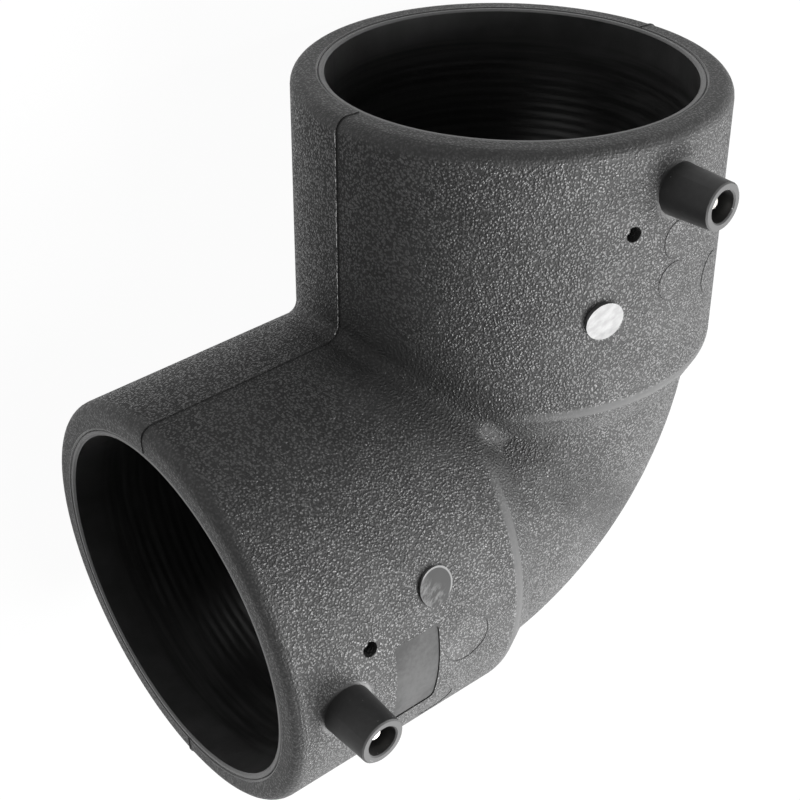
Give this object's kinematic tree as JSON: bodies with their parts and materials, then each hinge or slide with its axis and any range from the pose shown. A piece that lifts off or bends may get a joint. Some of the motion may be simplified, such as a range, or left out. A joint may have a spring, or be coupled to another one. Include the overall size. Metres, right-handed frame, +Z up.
{
  "type": "electrofusion elbow",
  "caption": "Black 90 degree electrofusion pipe elbow with wound sleeves in both sockets, shrouded contact pins and fusion indicators.",
  "frame": {"origin": "middle of the fitting's bounding box in plan, on the ground under its widest stretch", "axes": "+X along the first socket towards its mouth, +Y along the second socket towards its mouth, +Z up, the way both contact pins point"},
  "size_m": [0.2028, 0.2028, 0.1487],
  "materials": {
    "moulded_body": "black polyethylene, spark-eroded grain with smooth bands",
    "sleeve": "black polyethylene, smooth",
    "wire": "drawn resistance wire",
    "pin": "turned and plated",
    "indicator": "black polyethylene, smooth"
  },
  "bodies": {
    "root": {"body": "moulded_body", "x_sleeve": "sleeve", "y_sleeve": "sleeve", "x_coil": "wire", "y_coil": "wire", "link_wire": "wire", "x_terminal_pin": "pin", "y_terminal_pin": "pin", "x_indicator": "indicator", "y_indicator": "indicator"}
  },
  "joints": []
}
